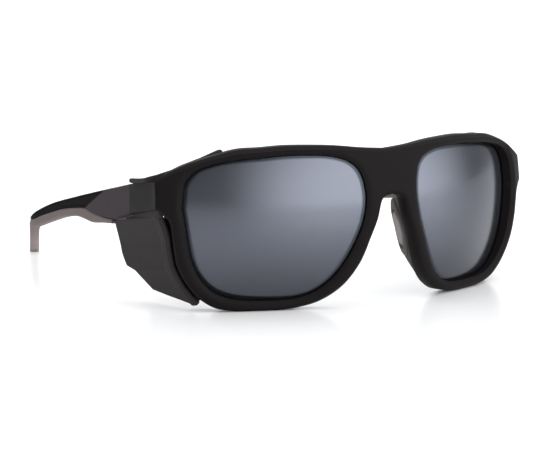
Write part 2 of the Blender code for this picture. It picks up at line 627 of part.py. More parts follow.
def build():
    for old in list(bpy.data.objects):
        bpy.data.objects.remove(old)
    front_frame()
    for word, hand in HANDS.items():
        lens(f"lens_{word}", hand)
        nose_pad(f"nose_pad_{word}", hand)
        side_shield(f"side_shield_{word}", hand)
        hinge_leaf(f"hinge_leaf_front_{word}", "front", hand)
        hinge_screw(f"hinge_screw_{word}", hand)
        for number, along in enumerate(SCREW_SPOTS["front"], 1):
            leaf_screw(f"front_leaf_screw_{word}_{number}", along, hand)
        pivot = hinge_pivot(f"hinge_pivot_{word}", hand)
        hang(temple(f"temple_{word}", hand), pivot)
        hang(temple_grip(f"temple_grip_{word}", hand), pivot)
        hang(hinge_leaf(f"hinge_leaf_temple_{word}", "temple", hand), pivot)
        for number, along in enumerate(SCREW_SPOTS["temple"], 1):
            hang(leaf_screw(f"temple_leaf_screw_{word}_{number}", along, hand), pivot)


if __name__ == "__main__":
    build()
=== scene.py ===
"""Glacier glasses: the finished look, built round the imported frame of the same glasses."""

import math

import bmesh
import bpy
import numpy as np
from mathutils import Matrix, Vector


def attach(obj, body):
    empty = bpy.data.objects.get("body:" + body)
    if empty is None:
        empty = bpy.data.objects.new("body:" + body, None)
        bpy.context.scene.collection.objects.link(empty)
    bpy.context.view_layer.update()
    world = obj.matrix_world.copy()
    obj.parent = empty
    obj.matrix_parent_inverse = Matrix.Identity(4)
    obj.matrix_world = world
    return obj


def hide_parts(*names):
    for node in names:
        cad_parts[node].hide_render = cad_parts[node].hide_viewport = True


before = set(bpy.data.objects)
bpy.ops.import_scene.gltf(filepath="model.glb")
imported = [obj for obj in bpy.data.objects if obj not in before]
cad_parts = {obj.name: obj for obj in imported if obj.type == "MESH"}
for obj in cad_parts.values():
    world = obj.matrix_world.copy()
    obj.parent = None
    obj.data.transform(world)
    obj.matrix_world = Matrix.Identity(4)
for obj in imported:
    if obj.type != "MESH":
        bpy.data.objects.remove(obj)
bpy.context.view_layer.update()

bl_info = {
    "name": "Glacier Glasses",
    "version": (1, 0, 0),
    "blender": (4, 5, 0),
    "location": "View3D > Sidebar > Glacier Glasses",
    "description": "Wrap-around mountain sunglasses with side shields and folding temples",
    "category": "Add Mesh",
}

MM = 0.001
HANDS = {"left": 1, "right": -1}

# The shapes follow the frame's own solids, in millimetres.  "Across" and "up" run over the
# barrel-shaped front, with "depth" behind it; "along", "inboard" and "up" belong to the side.
WRAP_RADIUS = 108.5
VERTICAL_CURVE = 0.00806
MID_HEIGHT = 28.0
DEPTH_TO_MIDDLE = 82.38
CORNER_ACROSS = 69.85
CORNER_BACK = 25.9
SIDE_ANGLE = math.radians(9.5)
BEND_START = 123.4
BEND_RADIUS = 48.0

# Each rib crosses the rim: (across, up) on the lens opening, then (across, up) on the outer edge.
RIBS = np.array([
    (66.9, -6.5, 71.1, -7.2), (67.9, -1.0, 72.3, 0.0), (68.5, 3.2, 74.6, 2.6),
    (68.6, 5.0, 76.6, 4.4), (67.6, 11.0, 76.2, 12.7), (65.6, 14.0, 72.6, 15.0),
    (62.3, 16.3, 65.4, 17.9), (55.8, 18.2, 57.0, 20.3), (48.8, 19.2, 49.6, 22.0),
    (42.2, 19.7, 42.2, 22.4), (34.9, 20.2, 34.4, 22.9), (27.0, 20.1, 25.8, 22.8),
    (20.5, 19.6, 17.5, 22.4), (15.4, 18.3, 8.0, 21.4), (12.4, 16.4, 0.0, 20.8),
    (10.7, 13.8, 0.0, 14.2), (9.7, 9.8, 0.0, 7.0), (9.6, 5.0, 3.6, 5.6),
    (10.7, -0.8, 5.6, -0.6), (12.8, -6.4, 7.9, -6.2), (15.9, -12.8, 10.9, -14.0),
    (19.8, -18.5, 15.6, -20.9), (24.9, -22.6, 22.1, -25.4), (30.6, -24.4, 29.4, -27.4),
    (36.6, -24.8, 36.2, -28.0), (42.2, -24.8, 42.2, -28.0), (47.8, -24.5, 48.2, -28.0),
    (53.4, -23.4, 55.2, -26.9), (58.3, -21.0, 61.2, -23.6), (62.4, -17.0, 65.8, -19.0),
    (65.2, -12.2, 69.4, -13.4)])
END_PIECE_RIBS = (3, 4)
BRIDGE_RIBS = (14, 15, 16)
FOOT_RIBS = (24, 26)
EDGE_CORNERS = END_PIECE_RIBS + BRIDGE_RIBS + FOOT_RIBS
END_PIECE_CHAMFER = 0.35  # the outer chamfer's share at the end piece's root
GROOVE_DEPTH = 1.0
GROOVE_WIDTH = 2.2
BACK_LIP = 1.2
LENS_BITE = 0.7
LENS_GAP = 0.3
LENS_CENTRE = np.array([39.0, -2.5])
LENS_EDGE_RINGS = (1.0, 0.985, 0.97, 0.955, 0.94)
LENS_RINGS = 18

# The rim's section as (across, down): the slope down to the lens and the outer chamfer in shares,
# the two back edges in millimetres.
INNER_SLOPE = ((1.0, 0.0), (0.84, 0.05), (0.6, 0.24), (0.25, 0.66), (0.08, 0.86), (0.0, 1.0))
INNER_BACK = ((0.0, 0.5), (0.15, 0.15), (0.5, 0.0))
OUTER_BACK = ((0.7, 0.0), (0.2, 0.2), (0.0, 0.7))
OUTER_SLOPE = ((0.0, 1.0), (0.12, 0.82), (0.82, 0.12), (1.0, 0.0))
SLOPE_DROP = (0.62, 1.15)  # share of the lens's depth, and the most it may be

END_PIECE_THICKNESS = 3.6
END_PIECE_BOTTOM = (4.3, -0.183)  # height at the corner, and rise per millimetre behind it
END_PIECE_TOP = (12.7, -0.133)
# Each step of the end piece: (along on its outer face, along on its inner face, edge radius).
END_PIECE_STEPS = ((3.0, 8.0, 0.3), (6.0, 9.0, 0.6), (10.0, 11.0, 0.8), (17.0, 17.0, 0.8),
                   (23.5, 23.5, 0.8), (23.85, 23.85, 1.0))

# Temple and grip in the side plane: (back, up) on the upper edge, then on the lower edge.
BLADE_RIBS = np.array([
    (24.3, 9.5, 24.3, -0.1), (38.0, 6.9, 38.6, -3.8), (51.8, 4.3, 55.1, -4.6),
    (62.2, 2.3, 63.4, -4.3), (72.6, 0.3, 70.6, -3.9), (83.6, -1.9, 82.7, -5.4),
    (94.6, -4.1, 94.7, -7.3), (106.0, -6.6, 106.5, -9.8), (117.8, -9.7, 118.0, -12.6),
    (126.0, -12.2, 126.0, -14.7), (133.5, -14.8, 133.2, -16.0)])
GRIP_RIBS = np.array([
    (41.0, -4.3, 41.0, -5.3), (47.0, -4.55, 46.6, -5.9), (55.1, -4.65, 52.1, -6.5),
    (62.6, -4.35, 62.4, -7.7), (70.6, -3.95, 71.4, -7.6), (82.0, -5.3, 79.6, -7.8),
    (94.7, -7.3, 94.2, -10.0), (107.0, -9.95, 104.6, -12.3), (118.0, -12.6, 113.0, -14.3),
    (126.0, -14.7, 121.5, -16.4), (133.8, -16.2, 128.5, -18.0), (138.0, -18.0, 132.3, -20.2),
    (140.6, -21.0, 134.2, -23.0), (141.6, -24.4, 135.4, -25.4), (141.2, -26.9, 136.0, -27.1),
    (140.0, -28.0, 137.2, -28.0)])
GRIP_THICKNESS = np.array([(90.0, 3.9), (116.0, 3.5), (130.0, 3.3), (142.0, 3.3)])
GRIP_STEP = 0.3
GRIP_TUCK = 0.3
# The raised panel at the front of each temple ends on a slant: (back, up) at its top and bottom.
PANEL_END = ((47.8, 5.1), (69.5, -3.9))
PANEL_FADE = 1.2
TEMPLE_END_RADIUS = 0.5
GRIP_END_RADIUS = 1.25

# The side shield: rules of the wing as (up, length), the shelf inwards from its top, the fence up
# to the end piece as (along, top), the flap over the brow as (across, low, high) and over the end
# piece as (along, inboard, low, high), and the web behind the rim as (inner, outer, up).
SHIELD_WALL = 1.4
WEB_GAP = 0.4
WING_OFFSET = 1.9
WING_START_DEPTH = 2.5
WING_ANGLE = math.radians(5.0)
WING_SLOPE = -0.17
WING_TOP_RAISE = (1.0, 0.8)
SHELF_START = 6.5
SHELF_WIDTH = 6.0
FENCE = np.array([(0.9, 4.5), (23.4, 0.4), (24.6, -0.5), (32.0, -2.4)])
FENCE_SPAN = (1.0, 2.4)
WING_RULES = np.array([
    (2.0, 34.0), (-3.9, 35.5), (-8.0, 34.8), (-11.7, 33.3), (-13.2, 27.7), (-15.6, 25.2),
    (-19.3, 21.9), (-21.0, 15.5), (-22.8, 8.5), (-24.4, 4.0)])
BROW_FLAP = np.array([
    (53.6, 18.0, 20.4), (54.6, 17.2, 21.6), (58.0, 15.5, 20.5), (61.4, 13.5, 19.2),
    (65.0, 11.5, 18.0), (68.5, 10.5, 16.8), (71.6, 10.9, 15.5)])
SIDE_FLAP = np.array([
    (8.9, 3.6, 11.0, 13.9), (11.0, 1.6, 10.8, 13.1), (14.0, 1.2, 10.4, 12.4),
    (20.0, 1.1, 9.75, 11.6), (26.3, 1.1, 9.5, 11.0)])
WEB = np.array([
    (55.5, 61.6, -25.4), (60.5, 65.8, -22.5), (63.0, 68.4, -20.0), (65.6, 70.8, -17.0),
    (67.9, 72.8, -14.0), (69.0, 74.3, -11.0), (69.6, 75.0, -6.0), (69.4, 75.4, 0.8),
    (69.2, 75.5, 2.6), (69.1, 75.3, 3.6), (69.0, 73.4, 9.0), (67.6, 73.2, 12.6),
    (67.0, 71.0, 14.6)])
LIP_FADE = 0.5
FENCE_RADIUS = 0.4

# The nose: an arm behind each rim, its reach as (up, share), carries a rubber pad.  The pad's
# insert is a share of its width, and squatter than the pad, with a groove round it.
ARM_OFFSET = 0.8
ARM_RADIUS = 0.7
ARM_ROOT = 1.1
PAD_OFFSET = 2.9
ARM_THICKNESS = 1.7
ARM_END_DEPTH = 14.0
ARM_REACH = np.array([(5.2, 0.0), (4.7, 0.42), (3.4, 0.78), (0.6, 0.95), (-4.0, 1.0), (-8.0, 0.94),
                      (-12.0, 0.8), (-16.0, 0.55), (-19.0, 0.28), (-22.0, 0.0)])
PAD_FLARE = 0.38
PAD_MIDDLE = -5.6
PAD_HALF_HEIGHT = 9.8
PAD_DEPTH = 9.0
PAD_HALF_WIDTH = 3.7
PAD_HALF_THICKNESS = 1.2
PAD_CLEARANCE = 0.3
INSERT_SHARE = 0.76
INSERT_SQUAT = 1.22
GROOVE_SHARE = 0.12
INSERT_GROOVE = 0.8

# The hinge: its axis is upright, inboard of the joint between end piece and temple.
HINGE_SPOT = (24.15, 5.9, 4.7)
LEAF_FACE = 3.9
LEAF_THICKNESS = 0.9
SCREW_RADIUS = 0.55
SCREW_SHORTER = 2.1
HEAD_RADIUS = 1.25
HEAD_RIM = 0.28
HEAD_DOME = 0.34
HEAD_TIP = 0.08
SLOT_HALF_WIDTH = 0.16
SLOT_HALF_LENGTH = 1.5
SLOT_LEVELS = (-0.35, 1.0)
SLOT_DIRECTION = (0.3, 0.1, 1.0)
SCREW_SPOTS = {"front": (14.2, 18.8), "temple": (28.4, 33.0)}
SHARP_ANGLE = 38.0

# The stage: what the camera looks at, and the sky's windows as (direction, full within, none
# past) in degrees.
AIM = Vector((-0.03131, -0.06262, 0.02542))
SENSOR = 36.0
NEAREST = 0.01
FRONT_WINDOW = ((0.44, -0.895, -0.03), 17, 62)
TOP_WINDOW = ((0.0, 0.1, 0.995), 20, 66)
BACK_WINDOW = ((0.53, 0.83, -0.1), 20, 55)


# ---------------------------------------------------------------- settings

def linear(hex_colour):
    """An sRGB hex colour as linear red, green and blue."""
    parts = [int(hex_colour[i:i + 2], 16) / 255 for i in (1, 3, 5)]
    return tuple(p / 12.92 if p <= 0.04045 else ((p + 0.055) / 1.055) ** 2.4 for p in parts)


def colour(name, hex_colour, description):
    return bpy.props.FloatVectorProperty(name=name, description=description, subtype="COLOR",
                                         size=3, min=0.0, max=1.0, default=linear(hex_colour))


def length(name, metres, description):
    return bpy.props.FloatProperty(name=name, description=description, default=metres, min=0.0,
                                   unit="LENGTH", precision=5)


class FrontSizes(bpy.types.PropertyGroup):
    outer_chamfer: length("Outer chamfer", 0.0010, "Width of the chamfer round the outer edge")
    inner_bevel: length("Inner bevel", 0.0016, "Width of the slope down to each lens")
    crown: length("Crown", 0.00015, "How far the rims' front swells between its edges")
    steps: bpy.props.IntProperty(name="Steps per rib", description="Fineness along the rims",
                                 default=9, min=2, max=20)


class TempleSizes(bpy.types.PropertyGroup):
    edge_radius: length("Edge radius", 0.0008, "Rounding along the temples' edges")
    grip_radius: length("Grip radius", 0.0011, "Rounding along the grips' edges")
    panel_step: length("Panel step", 0.0004, "How far the rear of each temple is set in")


class ShieldSizes(bpy.types.PropertyGroup):
    edge_radius: length("Edge radius", 0.0006, "Rounding round the side shields")
    lip_width: length("Lip width", 0.0040, "Width of the thicker lip along the rim")
    lip_height: length("Lip height", 0.00045, "How far the lip stands out")


class FinishColours(bpy.types.PropertyGroup):
    frame_nylon: colour("Front", "#171415", "Matt moulded nylon of the front")
    # The nose arms' colour is the front's nylon painted paler, a painted highlight.
    arm_nylon: colour("Nose arms", "#4a4443", "Matt nylon of the nose arms")
    panel_nylon: colour("Temple panel", "#423c3f", "Matt nylon of the temple's panel")
    temple_nylon: colour("Temple", "#0a0a0b", "Matt nylon behind the temple's panel")
    grip_rubber: colour("Grip", "#6a605e", "Soft rubber of the temple grips")
    grip_tail: colour("Grip tail", "#908684", "The paler rubber of the grip's tail")
    shield_rubber: colour("Shield", "#302d2e", "Matt rubber of the side shields")
    pad_rubber: colour("Nose pad", "#948e8c", "Rubber of the nose pads")
    pad_border: colour("Pad border", "#5f5857", "Rubber round the pad's insert")
    lens_tint: colour("Lens", "#5d6069", "Smoke tint and silver flash of the lenses")
    # The lens edge colour is painted shade: a darker, bluer band where the lens meets the rim.
    lens_edge_shade: colour("Lens border", "#2d3339", "Tint at the very edge of each lens")
    steel: colour("Steel", "#8f8f92", "Hinge leaves and screws")


class StageSettings(bpy.types.PropertyGroup):
    camera_distance: length("Camera distance", 0.70008, "From the camera to the point it looks at")
    focal: bpy.props.FloatProperty(name="Focal length", description="Of the camera's lens",
                                   default=148.06, unit="CAMERA")
    azimuth: bpy.props.FloatProperty(name="Azimuth", description="Where the camera stands",
                                     default=math.radians(-32.82), subtype="ANGLE")
    elevation: bpy.props.FloatProperty(name="Elevation", description="How high the camera stands",
                                       default=math.radians(8.075), subtype="ANGLE")
    floor_size: length("Floor size", 16.0, "Side of the square floor")
    fill: bpy.props.FloatProperty(name="Fill light", description="Dim light from all round",
                                  default=0.33, min=0.0)
    front_light: bpy.props.FloatProperty(name="Front light", description="Soft window in front",
                                         default=3.6, min=0.0)
    top_light: bpy.props.FloatProperty(name="Top light", description="Soft window overhead",
                                       default=1.8, min=0.0)
    back_light: bpy.props.FloatProperty(name="Back light", description="Soft window behind",
                                        default=0.8, min=0.0)


# ---------------------------------------------------------------- shapes

def front(across, up, depth):
    """A barrel: a circle's arc across the face, bowed back a little above and below the middle."""
    across, up, depth = np.broadcast_arrays(across, up, depth)
    turn = across / WRAP_RADIUS
    radius = WRAP_RADIUS - depth
    back = WRAP_RADIUS - radius * np.cos(turn) + VERTICAL_CURVE * up ** 2
    return np.stack([radius * np.sin(turn), back - DEPTH_TO_MIDDLE, up + MID_HEIGHT], axis=-1)


def side(along, inboard, up):
    """The upright side plane through the front corner, leaning inwards towards the back.

    It is flat as far as BEND_START, and then runs on as a circle's arc round the head.
    """
    along, inboard, up = np.broadcast_arrays(along, inboard, up)
    turn = np.maximum(along - BEND_START, 0.0) / BEND_RADIUS
    along = np.minimum(along, BEND_START) + (BEND_RADIUS - inboard) * np.sin(turn)
    inboard = BEND_RADIUS - (BEND_RADIUS - inboard) * np.cos(turn)
    lean, run = math.sin(SIDE_ANGLE), math.cos(SIDE_ANGLE)
    across = CORNER_ACROSS - along * lean - inboard * run
    back = CORNER_BACK + along * run - inboard * lean - DEPTH_TO_MIDDLE
    return np.stack([across, back, up + MID_HEIGHT], axis=-1)


INBOARD = side(0.0, 1.0, 0.0) - side(0.0, 0.0, 0.0)


def lens_depth(across):
    """How far the lens lies behind the front surface: it sinks in towards the temple."""
    return 1.0 + 2.8 * np.clip((across - 10.0) / 58.0, 0.0, 1.15)


def rim_depth(across):
    return lens_depth(across) + GROOVE_WIDTH + BACK_LIP


def smooth_loop(points, corners, steps):
    """A closed cubic through the points, each corner turning sharply."""
    points = np.asarray(points, float)
    after = np.roll(points, -1, axis=0)
    tangent = (after - np.roll(points, 1, axis=0)) / 2
    sharp = np.isin(np.arange(len(points)), corners)[:, None]
    start = np.where(sharp, after - points, tangent)
    end = np.where(np.roll(sharp, -1, axis=0), after - points, np.roll(tangent, -1, axis=0))
    return cubic(points, after, start, end, np.arange(steps) / steps)


def smooth_line(points, steps, corners=()):
    """An open cubic through the points, straight into any corner."""
    points = np.asarray(points, float)
    tangent = np.gradient(points, axis=0)
    chord = np.diff(points, axis=0)
    sharp = np.isin(np.arange(len(points)), corners)[:, None]
    start = np.where(sharp[:-1], chord, tangent[:-1])
    end = np.where(sharp[1:], chord, tangent[1:])
    curve = cubic(points[:-1], points[1:], start, end, np.arange(steps) / steps)
    return np.concatenate([curve, points[-1:]])


def cubic(first, last, start, end, t):
    """Hermite curves between matched points, with the given tangents, run end to end."""
    t = t[None, :, None]
    curve = ((2 * t ** 3 - 3 * t ** 2 + 1) * first[:, None]
             + (t ** 3 - 2 * t ** 2 + t) * start[:, None]
             + (3 * t ** 2 - 2 * t ** 3) * last[:, None] + (t ** 3 - t ** 2) * end[:, None])
    return curve.reshape(-1, first.shape[-1])


def outward(loop):
    """Unit normals pointing out of a loop drawn anticlockwise."""
    run = np.roll(loop, -1, axis=0) - np.roll(loop, 1, axis=0)
    normal = np.stack([run[:, 1], -run[:, 0]], axis=-1)
    return normal / np.linalg.norm(normal, axis=1, keepdims=True)


def unit(vectors):
    return vectors / np.linalg.norm(vectors, axis=-1, keepdims=True)


def grid_faces(rows, columns, closed_rows=False, skip=()):
    """Quads between successive loops of a grid, leaving out any (row, column) in skip."""
    last = rows if closed_rows else rows - 1
    return [(r * columns + c, r * columns + (c + 1) % columns,
             (r + 1) % rows * columns + (c + 1) % columns, (r + 1) % rows * columns + c)
            for r in range(last) for c in range(columns) if (r, c) not in skip]


def strip(first, last, inward, wall, radius, across=10, arc=4, relief=None, end=0.0):
    """Loops round a wall that runs from a first to a last edge: a rectangle with round corners.

    Each row has its own two edge points, inward direction and thickness, in millimetres.  Relief
    lifts the outer face by its distance across the wall.  With an end radius, the first and last
    rows are repeated in quarter circles, each drawn in on all sides by as much as it lies back.
    """
    rows = [np.asarray(part, float) for part in (first, last, inward)]
    wall = np.broadcast_to(np.asarray(wall, float).reshape(-1, 1), (len(rows[0]), 1))
    draw_in = np.zeros((len(rows[0]), 1))
    if end:
        turn = np.linspace(0.0, math.pi / 2, arc + 1)[:, None]
        back, inset = end * (1 - np.cos(turn)), end * (1 - np.sin(turn))
        middle = (rows[0] + rows[1]) / 2
        ahead, astern = unit(middle[1] - middle[0]), unit(middle[-2] - middle[-1])
        pads = [(ahead * back, astern * back[::-1])] * 2 + [(0.0 * back, 0.0 * back)]
        rows = [np.concatenate([part[:1] + start, part[1:-1], part[-1:] + finish])
                for part, (start, finish) in zip(rows, pads)]
        wall = np.concatenate([wall[:1] + 0 * back, wall[1:-1], wall[-1:] + 0 * back])
        draw_in = np.concatenate([inset, draw_in[1:-1], inset[::-1]])
    first, last, inward = rows
    wide = np.linalg.norm(last - first, axis=1)[:, None]
    run = (last - first) / wide
    draw_in = np.minimum(draw_in, 0.45 * np.minimum(wide, wall))
    first, wide, wall = first + draw_in * (run + inward), wide - 2 * draw_in, wall - 2 * draw_in
    radius = np.minimum(radius, 0.48 * np.minimum(wide, wall))
    flat = np.linspace(0.0, 1.0, across)
    turn = np.linspace(0.0, math.pi / 2, arc + 2)[1:-1]
    over = radius + (wide - 2 * radius) * flat
    lift = np.zeros_like(over) if relief is None else relief(over + draw_in, wide + 2 * draw_in)
    zero = np.zeros_like(over)
    sine, cosine = radius * np.sin(turn), radius * np.cos(turn)
    x = np.concatenate([over, wide - radius + sine, wide - radius + cosine, over[:, ::-1],
                        radius - sine, radius - cosine], axis=1)
    y = np.concatenate([zero - lift, radius - cosine, wall - radius + sine, zero + wall,
                        wall - radius + cosine, radius - sine], axis=1)
    return first[:, None] + run[:, None] * x[..., None] + inward[:, None] * y[..., None]


def turned(profile, spot, axis, sides=40):
    """Loops of a profile of (radius, height) carried round an axis through a spot."""
    axis = unit(np.asarray(axis, float))
    first = unit(np.cross(axis, [0.0, 0.0, 1.0] if abs(axis[2]) < 0.9 else [1.0, 0.0, 0.0]))
    angle = np.arange(sides) * 2 * math.pi / sides
    spoke = np.outer(np.cos(angle), first) + np.outer(np.sin(angle), np.cross(axis, first))
    radius, height = np.array(profile, float).T
    return spot + height[:, None, None] * axis + radius[:, None, None] * spoke


def place(name, points, faces, body, finish, hand=1, marks=None):
    """A closed piece from points in millimetres, on a body; marks are values at its points."""
    points = np.asarray(points, float).reshape(-1, 3) * MM * np.array([hand, 1, 1])
    mesh = bpy.data.meshes.new(name)
    mesh.from_pydata(points.tolist(), [], faces)
    shape = bmesh.new()
    shape.from_mesh(mesh)
    bmesh.ops.remove_doubles(shape, verts=shape.verts, dist=1e-6)
    bmesh.ops.recalc_face_normals(shape, faces=shape.faces)
    shape.to_mesh(mesh)
    shape.free()
    piece = bpy.data.objects.new(name, mesh)
    bpy.context.scene.collection.objects.link(piece)
    mesh.materials.append(finish)
    mesh.shade_smooth()
    mesh.set_sharp_from_angle(angle=math.radians(SHARP_ANGLE))
    for mark, values in (marks or {}).items():
        if len(values) != len(mesh.vertices):
            raise ValueError(f"{name}: {len(values)} marks for {len(mesh.vertices)} points")
        mesh.attributes.new(mark, "FLOAT", "POINT").data.foreach_set("value", np.float32(values))
    if body:
        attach(piece, body)
    return piece


def skin(name, loops, body, finish, hand=1, marks=None):
    """A solid skinned over loops of equal length, capped at both ends."""
    rows, columns = loops.shape[:2]
    faces = grid_faces(rows, columns)
    faces += [tuple(range(columns)), tuple(range((rows - 1) * columns, rows * columns))]
    return place(name, loops, faces, body, finish, hand, marks)


def bake(piece):
    """Apply a piece's modifiers to its mesh."""
    bpy.context.view_layer.update()
    evaluated = piece.evaluated_get(bpy.context.evaluated_depsgraph_get())
    mesh = bpy.data.meshes.new_from_object(evaluated)
    piece.modifiers.clear()
    piece.data = mesh
    mesh.shade_smooth()
    mesh.set_sharp_from_angle(angle=math.radians(SHARP_ANGLE))


def join(piece, *others):
    """Unite other closed pieces with the first, and remove them."""
    for other in others:
        modifier = piece.modifiers.new("Join", "BOOLEAN")
        modifier.operation = "UNION"
        modifier.object = other
        bake(piece)
        bpy.data.objects.remove(other)


# ---------------------------------------------------------------- materials

BLEND = {"data_type": "RGBA"}
DRIFT_SCALE = 90.0  # patches of about 11 mm
GLOSS_DRIFT = 0.06
GRAIN_HEIGHT = 0.00005
NYLON_GRAIN = (0.22, 0.35)
RUBBER_GRAIN = (0.30, 0.30)
PAD_GRAIN = (0.30, 0.25)
GRIP_TAIL = (-0.0115, -0.004)  # heights, negated, between which the grip turns paler
# Painted reflection: heights over which the lens darkens towards its bottom, and the share of its
# colour left there.
LENS_REFLECTION_FADE = (-0.004, 0.027)
LENS_REFLECTION_LOW = 0.42
MADE_FINISHES = {}


def add(tree, kind, settings=(), **sockets):
    """One node: settings are its own properties, sockets its inputs by name or number."""
    node = tree.nodes.new(kind)
    for name, value in dict(settings).items():
        setattr(node, name, value)
    for name, value in sockets.items():
        numbered = name[0] == "n" and name[1:].isdigit()
        socket = node.inputs[int(name[1:]) if numbered else name.replace("_", " ")]
        if isinstance(value, bpy.types.NodeSocket):
            tree.links.new(value, socket)
        else:
            socket.default_value = value
    return node


def principled(name):
    material = bpy.data.materials.new(name)
    material.use_nodes = True
    return material, material.node_tree, material.node_tree.nodes["Principled BSDF"]


def moulded(name, base, roughness, grain, specular, mottle, other=None, mask=None):
    """A moulded surface: spark-eroded grain as bump, and a slow drift in colour and gloss.

    Grain is its width in millimetres and its strength.  A mask blends the colour towards another.
    """
    material, tree, shader = principled(name)
    spot = add(tree, "ShaderNodeTexCoord").outputs["Object"]
    width, strength = grain
    pits = add(tree, "ShaderNodeTexNoise", Vector=spot, Scale=1000.0 / width, Detail=3.0,
               Roughness=0.6).outputs["Fac"]
    drift = add(tree, "ShaderNodeTexNoise", Vector=spot, Scale=DRIFT_SCALE, Detail=4.0,
                Roughness=0.55).outputs["Fac"]
    dark = [c * (1 - mottle) for c in base] + [1.0]
    light = [c * (1 + mottle) for c in base] + [1.0]
    mix = add(tree, "ShaderNodeMix", BLEND, n0=drift, n6=dark, n7=light).outputs[2]
    if other is not None:
        mix = add(tree, "ShaderNodeMix", BLEND, n0=mask(tree, spot), n6=mix,
                  n7=(*other, 1.0)).outputs[2]
    tree.links.new(mix, shader.inputs["Base Color"])
    gloss = add(tree, "ShaderNodeMapRange", Value=pits, n3=roughness - GLOSS_DRIFT,
                n4=roughness + GLOSS_DRIFT)
    tree.links.new(gloss.outputs["Result"], shader.inputs["Roughness"])
    bump = add(tree, "ShaderNodeBump", Height=pits, Strength=strength, Distance=GRAIN_HEIGHT)
    tree.links.new(bump.outputs["Normal"], shader.inputs["Normal"])
    shader.inputs["Specular IOR Level"].default_value = specular
    return material


def across_plane(direction, start, end):
    """A mask that rises from 0 to 1 between two distances along a direction, in metres."""
    def mask(tree, spot):
        along = add(tree, "ShaderNodeVectorMath", {"operation": "DOT_PRODUCT"}, n0=spot,
                    n1=direction).outputs["Value"]
        return add(tree, "ShaderNodeMapRange", Value=along, n1=start, n2=end).outputs["Result"]
    return mask


def marked(mark):
    """A mask taken from a piece's own marks."""
    def mask(tree, spot):
        return add(tree, "ShaderNodeAttribute", {"attribute_name": mark}).outputs["Fac"]
    return mask


def finishes():
    """Every material once, by the name of its finish."""
    made = MADE_FINISHES
    if made:
        return made
    tints = bpy.context.scene.glasses_colours
    # Matt nylon from a spark-eroded mould: an even dark satin with a faint warm cast.
    made["frame_nylon"] = moulded("matt nylon, front", tints.frame_nylon, 0.50, NYLON_GRAIN,
                                  0.04, 0.12)
    # The same nylon, warmer and paler on the temple's panel and a deep black behind it.
    top, low = [side(back, 0.0, up) * MM for back, up in PANEL_END]
    slant = unit(np.array([0.0, top[2] - low[2], low[1] - top[1]]))
    start = float(slant @ top)
    made["temple_nylon"] = moulded("matt nylon, temple", tints.panel_nylon, 0.50, NYLON_GRAIN,
                                   0.01, 0.12, tints.temple_nylon,
                                   across_plane(slant, start - 0.0002, start + 0.0003))
    # Painted highlight: the nose arms get a paler copy of the front's nylon, standing in for the
    # light they catch.
    made["arm_nylon"] = moulded("matt nylon, nose arm", tints.arm_nylon, 0.50, NYLON_GRAIN,
                                0.04, 0.12)
    # Moulded soft rubber: duller than the nylon, with a bloom that evens out its highlights.
    made["grip_rubber"] = moulded("soft rubber, grip", tints.grip_rubber, 0.60, RUBBER_GRAIN,
                                  0.15, 0.08, tints.grip_tail,
                                  across_plane((0, 0, -1), *GRIP_TAIL))
    made["shield_rubber"] = moulded("soft rubber, shield", tints.shield_rubber, 0.62,
                                    RUBBER_GRAIN, 0.08, 0.08)
    # The pad's rubber is smoother, so its pale insert keeps a slight sheen.
    made["pad_rubber"] = moulded("soft rubber, nose pad", tints.pad_rubber, 0.55, PAD_GRAIN,
                                 0.14, 0.08, tints.pad_border, marked("border"))
    made["smoke_lens"] = lens_finish(tints.lens_tint, tints.lens_edge_shade)
    made["hinge_steel"] = steel_finish(tints.steel)
    return made


def lens_finish(tint, border):
    """Smoke polycarbonate with a thin silver flash: part mirror, part see-through.

    Painted shade darkens and blues the lens in a thin band where it runs into its groove beside
    the rim, and a painted reflection makes it darker towards the bottom of the lens.
    """
    material, tree, shader = principled("smoke lens with silver flash")
    inset = add(tree, "ShaderNodeAttribute", {"attribute_name": "inset"})
    part = add(tree, "ShaderNodeMapRange", Value=inset.outputs["Fac"], n1=1.8, n2=2.4)
    spot = add(tree, "ShaderNodeTexCoord").outputs["Object"]
    haze = add(tree, "ShaderNodeTexNoise", Vector=spot, Scale=60.0, Detail=2.0)
    gloss = add(tree, "ShaderNodeMapRange", Value=haze.outputs["Fac"], n3=0.15, n4=0.20)
    # Painted shade: the lens's colour turns darker and bluer near its edge, where it meets the rim.
    mix = add(tree, "ShaderNodeMix", BLEND, n0=part.outputs["Result"],
              n6=(*border, 1.0), n7=(*tint, 1.0))
    # Painted reflection: the lens's colour darkens towards its bottom, standing in for the weaker
    # reflection there.
    fade = across_plane((0, 0, 1), *LENS_REFLECTION_FADE)(tree, spot)
    low = [part * LENS_REFLECTION_LOW for part in tint]
    faded = add(tree, "ShaderNodeMix", BLEND, n0=fade, n6=(*low, 1.0), n7=mix.outputs[2])
    tree.links.new(faded.outputs[2], shader.inputs["Base Color"])
    tree.links.new(gloss.outputs["Result"], shader.inputs["Roughness"])
    shader.inputs["Metallic"].default_value = 0.85
    shader.inputs["Alpha"].default_value = 0.95
    return material


def steel_finish(base):
    """Stamped stainless steel, tumbled: a fine, directionless scratch over a grey metal."""
    material, tree, shader = principled("tumbled stainless steel")
    spot = add(tree, "ShaderNodeTexCoord").outputs["Object"]
    scratch = add(tree, "ShaderNodeTexNoise", Vector=spot, Scale=2500.0, Detail=4.0)
    gloss = add(tree, "ShaderNodeMapRange", Value=scratch.outputs["Fac"], n3=0.25, n4=0.45)
    tree.links.new(gloss.outputs["Result"], shader.inputs["Roughness"])
    shader.inputs["Base Color"].default_value = (*base, 1.0)
    shader.inputs["Metallic"].default_value = 1.0
    return material


# ---------------------------------------------------------------- pieces

